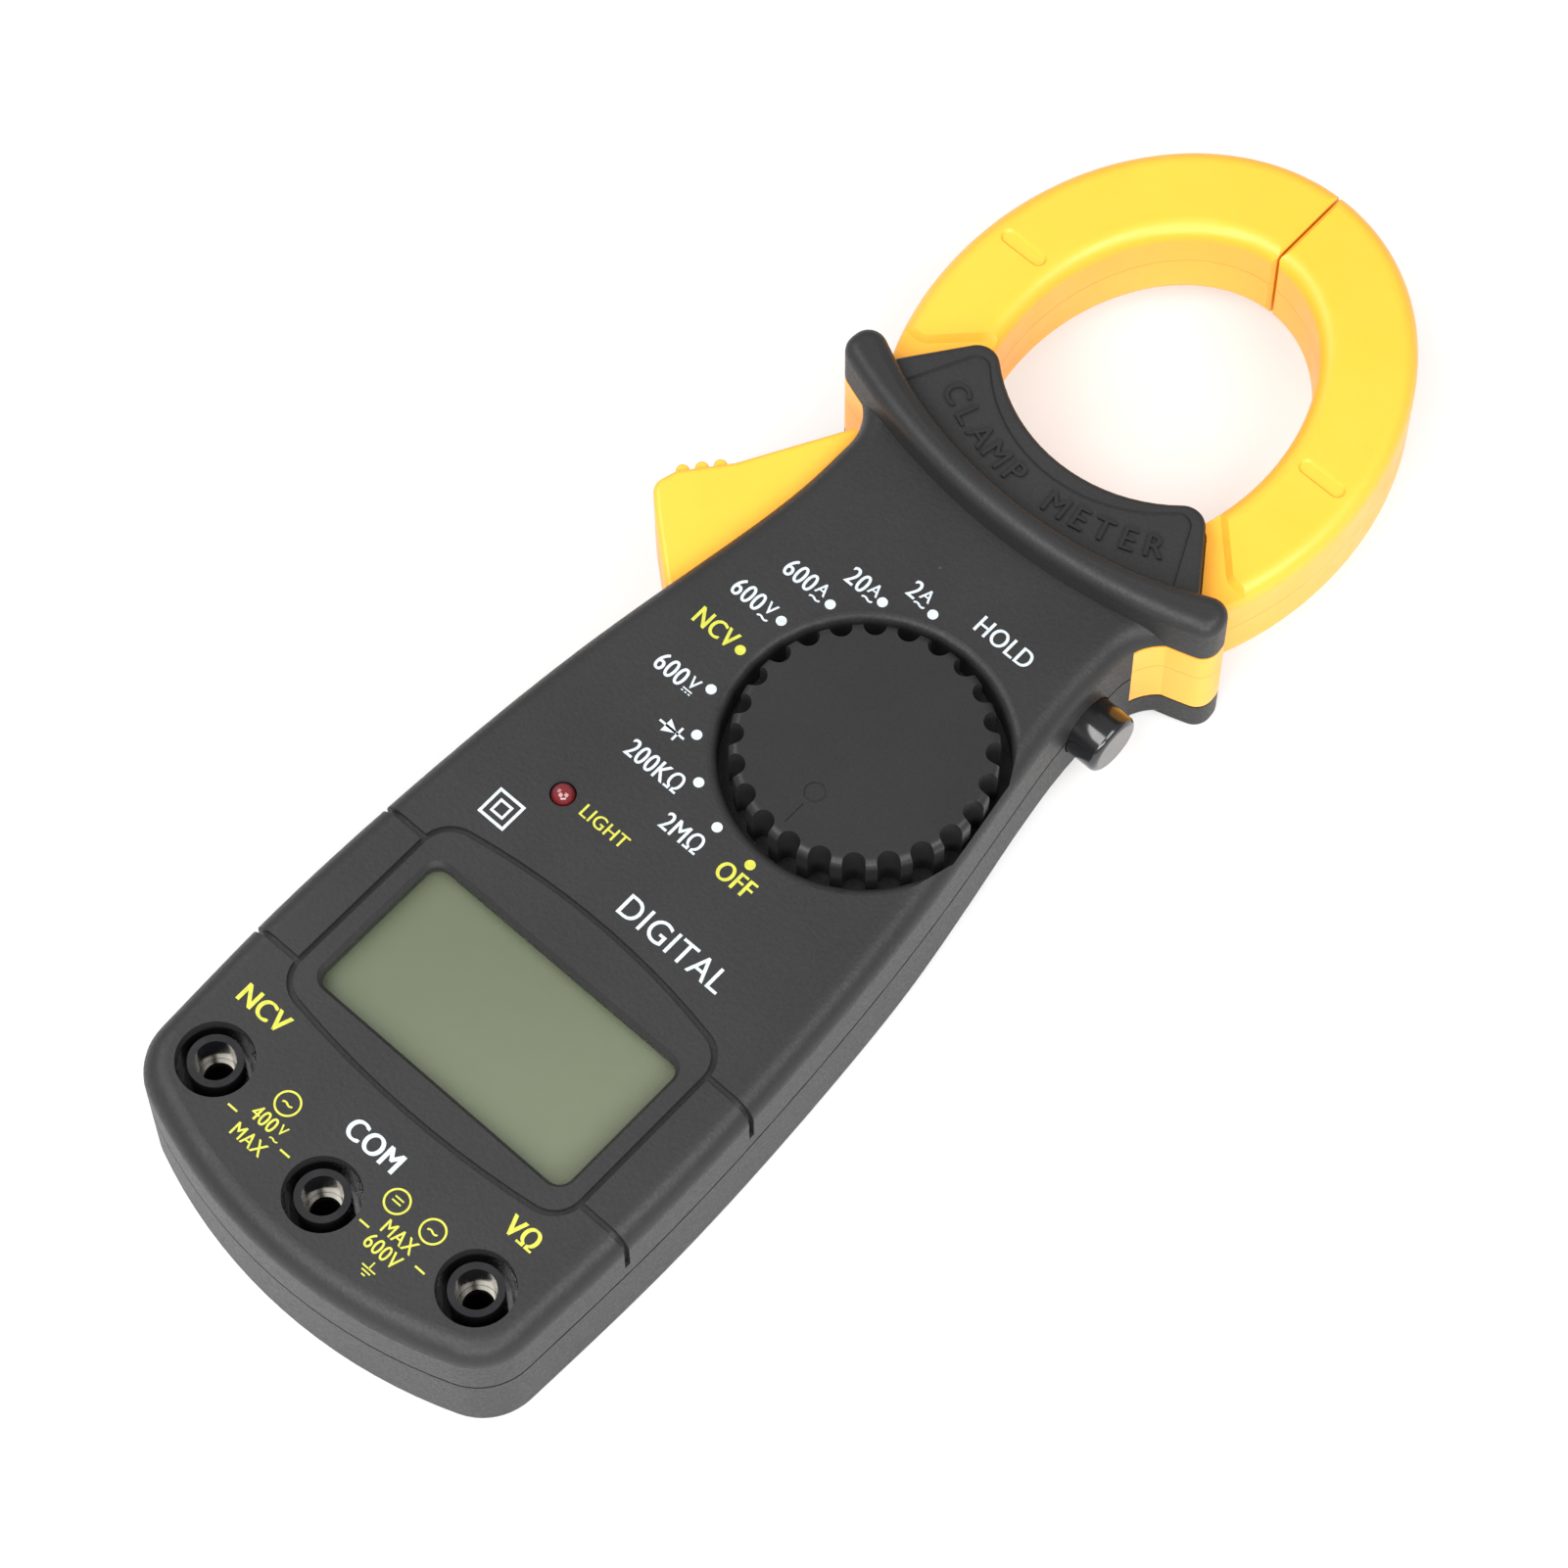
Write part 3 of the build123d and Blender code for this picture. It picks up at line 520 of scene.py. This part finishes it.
def earth_sign(x, y):
    parts = [(rectangle(-0.1, 0, 0.1, 1.1), at(x, y))]
    for i, half in enumerate((1.1, 0.7, 0.3)):
        parts.append((rectangle(-half, -0.1, half, 0.1), at(x, y - 0.5 * i)))
    return parts


def double_square(x, y):
    """The generic double-insulation sign: a square within a square."""
    sizes = ((2.2, 0.42), (1.1, 0.36))
    return [(outline_mesh(square_points(half), width), at(x, y)) for half, width in sizes]


def round_sign(x, y, letter):
    """A plain circled sign beside the sockets."""
    return [(outline_mesh(ring_points(1.8), 0.28), at(x, y)), (text_mesh(letter, 2.0, 0.03), at(x, y))]


def dash(x, y):
    return [(rectangle(-0.8, -0.14, 0.8, 0.14), at(x, y))]


def position_dot(index):
    angle = math.radians(270 - DETENT_STEP * index)
    x = DIAL_CENTRE[0] + DOT_CIRCLE_R * math.cos(angle)
    y = DIAL_CENTRE[1] + DOT_CIRCLE_R * math.sin(angle)
    return [(prism(ring_points(DOT_R, 28)), at(x, y))]


def labels(rows):
    """Plain words, each with its height, weight, squeeze and place."""
    return [(text_mesh(text, size, weight, squeeze), at(x, y)) for text, size, weight, squeeze, x, y in rows]


def print_front():
    white = ink("ink_white", WHITE_INK)
    yellow = ink("ink_yellow", YELLOW_INK)
    whites = labels((
        ("HOLD", 2.75, 0.02, 0.84, 11.6, 59.3),
        ("COM", 3.1, 0.04, 0.86, 0.25, -45.3),
        ("DIGITAL", 3.5, 0.008, 0.92, 8.9, -0.5),
        ("2MΩ", LABEL, 0.02, 0.80, -0.6, 11.5),
        ("200KΩ", LABEL, 0.02, 0.78, -9.6, 16.1)))
    whites += volt_amp("600", "V", -16.6, 27.7, "=")
    whites += volt_amp("600", "V", -16.6, 42.3, "~")
    whites += volt_amp("600", "A", -13.5, 48.9, "~")
    whites += volt_amp("20", "A", -7.5, 53.4, "~")
    whites += volt_amp("2", "A", -1.1, 57.3, "~")
    whites += diode_sign(-11.6, 21.5)
    whites += double_square(-19.9, -1.3)
    yellows = labels((
        ("NCV", 2.95, 0.04, 0.88, -22.85, -41.4),
        ("VΩ", 2.9, 0.04, 0.88, 21.9, -41.4),
        ("NCV", LABEL, 0.03, 0.80, -17.4, 35.9),
        ("OFF", LABEL, 0.03, 0.82, 8.7, 11.3),
        ("LIGHT", 2.0, 0.015, 0.95, -8.6, 5.6)))
    yellows += volt_amp("400", "V", -11.4, -51.9, "~", 2.2)
    yellows += labels((
        ("MAX", 2.1, 0.015, 0.82, -11.85, -55.2),
        ("MAX", 2.1, 0.015, 0.82, 10.95, -51.9),
        ("600V", 2.2, 0.015, 0.82, 10.7, -54.6)))
    yellows += earth_sign(11.06, -57.3)
    for x, y, sign in ((-11.6, -48.4, "~"), (7.5, -48.6, "="), (13.5, -48.5, "~")):
        yellows += round_sign(x, y, sign)
    for x, y in ((-16.3, -53.4), (-7.2, -53.4), (6.5, -53.4), (15.8, -53.2)):
        yellows += dash(x, y)
    for index in range(10):
        target = yellows if index in (0, 5) else whites
        target += position_dot(index)
    gather("front_print_white", whites, white, "case")
    gather("front_print_yellow", yellows, yellow, "case")


def panel_letters():
    """Raised letters that follow the hollow of the label panel."""
    pieces = []
    for word, start in PANEL_WORDS:
        for i, letter in enumerate(word):
            turn = (start + i * PANEL_LETTER_STEP) / PANEL_LETTER_ARC_R
            x = PANEL_LETTER_ARC_R * math.sin(turn)
            y = PANEL_LETTER_Y + PANEL_LETTER_ARC_R * (1 - math.cos(turn))
            place = Matrix.Translation((x * MM, y * MM, PANEL_FIELD_Z)) @ Matrix.Rotation(turn, 4, "Z")
            pieces.append((text_mesh(letter, 3.5, 0.01, 0.95, 0.90 * MM), place))
    letters = gather("panel_letters", pieces, bpy.data.materials["dial_black"], "case")


# ---------------------------------------------------------------- hidden springs
def spring_helix():
    """The trigger's return spring as a real coil, in place of its plain CAD tube."""
    low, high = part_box("trigger_spring")
    middle_y, middle_z = (low.y + high.y) / 2, (low.z + high.z) / 2
    radius = (high.z - low.z) / 2 - SPRING_WIRE_R
    curve = bpy.data.curves.new("trigger_spring_coil", "CURVE")
    curve.dimensions = "3D"
    curve.bevel_depth = SPRING_WIRE_R
    curve.bevel_resolution = 3
    count = SPRING_TURNS * SPRING_STEPS + 1
    line = curve.splines.new("NURBS")
    line.points.add(count - 1)
    length = high.x - low.x - 2 * SPRING_WIRE_R
    for i in range(count):
        angle = FULL_TURN * i / SPRING_STEPS
        x = low.x + SPRING_WIRE_R + length * i / (count - 1)
        line.points[i].co = (x, middle_y + radius * math.cos(angle), middle_z + radius * math.sin(angle), 1)
    line.use_endpoint_u = True
    line.order_u = 3
    coil = add_object("trigger_spring_coil", curve_mesh(curve), bpy.data.materials["spring_steel"], "case")
    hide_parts("trigger_spring")
    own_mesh(coil)


# ---------------------------------------------------------------- stage, light and camera
def stage():
    mesh = bpy.data.meshes.new("floor")
    mesh.from_pydata([(-3, -3, 0), (3, -3, 0), (3, 3, 0), (-3, 3, 0)], [], [(0, 1, 2, 3)])
    mesh.materials.append(floor_paper())
    floor = bpy.data.objects.new("floor", mesh)
    bpy.context.scene.collection.objects.link(floor)


def area_light(name, azimuth, elevation, distance, size, watts):
    """A soft box that faces the middle of the meter; azimuth 0 is the socket end."""
    turn, rise = math.radians(azimuth), math.radians(elevation)
    outward = Vector((math.sin(turn) * math.cos(rise), -math.cos(turn) * math.cos(rise), math.sin(rise)))
    light = bpy.data.lights.new(name, "AREA")
    light.shape = "RECTANGLE"
    light.size, light.size_y = size
    light.energy = watts
    lamp = bpy.data.objects.new(name, light)
    lamp.location = Vector((0, 0.03, 0.01)) + outward * distance
    lamp.rotation_euler = (-outward).to_track_quat("-Z", "Y").to_euler()
    bpy.context.scene.collection.objects.link(lamp)


def lights():
    area_light("key", 43, 32, 1.0, (0.9, 0.3), 8.0)
    area_light("socket_side", -5, 58, 1.0, (0.6, 0.6), 8.5)
    area_light("button_side", 98, 52, 1.0, (0.6, 0.6), 7.5)
    area_light("trigger_side", -80, 50, 1.1, (0.6, 0.6), 4.5)
    world = bpy.data.worlds.new("studio")
    world.use_nodes = True
    world.node_tree.nodes["Background"].inputs["Color"].default_value = (1, 1, 1, 1)
    world.node_tree.nodes["Background"].inputs["Strength"].default_value = 0.40
    bpy.context.scene.world = world


def camera():
    azimuth, elevation, roll = math.radians(43.117), math.radians(64.466), math.radians(-0.71)
    distance = 769.084 * MM
    target = Vector((-4.918, 35.22, -5.0)) * MM
    back = Vector((math.sin(azimuth) * math.cos(elevation), -math.cos(azimuth) * math.cos(elevation),
                   math.sin(elevation)))
    right = Vector((0, 0, 1)).cross(back).normalized()
    up = back.cross(right)
    cosine, sine = math.cos(roll), math.sin(roll)
    right, up = cosine * right + sine * up, cosine * up - sine * right
    data = bpy.data.cameras.new("camera")
    data.sensor_width = 36.0
    data.lens = 133.16
    data.clip_start = 0.01
    view = bpy.data.objects.new("camera", data)
    axes = Matrix((right, up, back)).transposed().to_4x4()
    view.matrix_world = Matrix.Translation(target + back * distance) @ axes
    bpy.context.scene.collection.objects.link(view)
    bpy.context.scene.camera = view


# ---------------------------------------------------------------- make it
bpy.context.scene.view_settings.view_transform = "Standard"
dress_cad()
print_front()
panel_letters()
spring_helix()
stage()
lights()
camera()
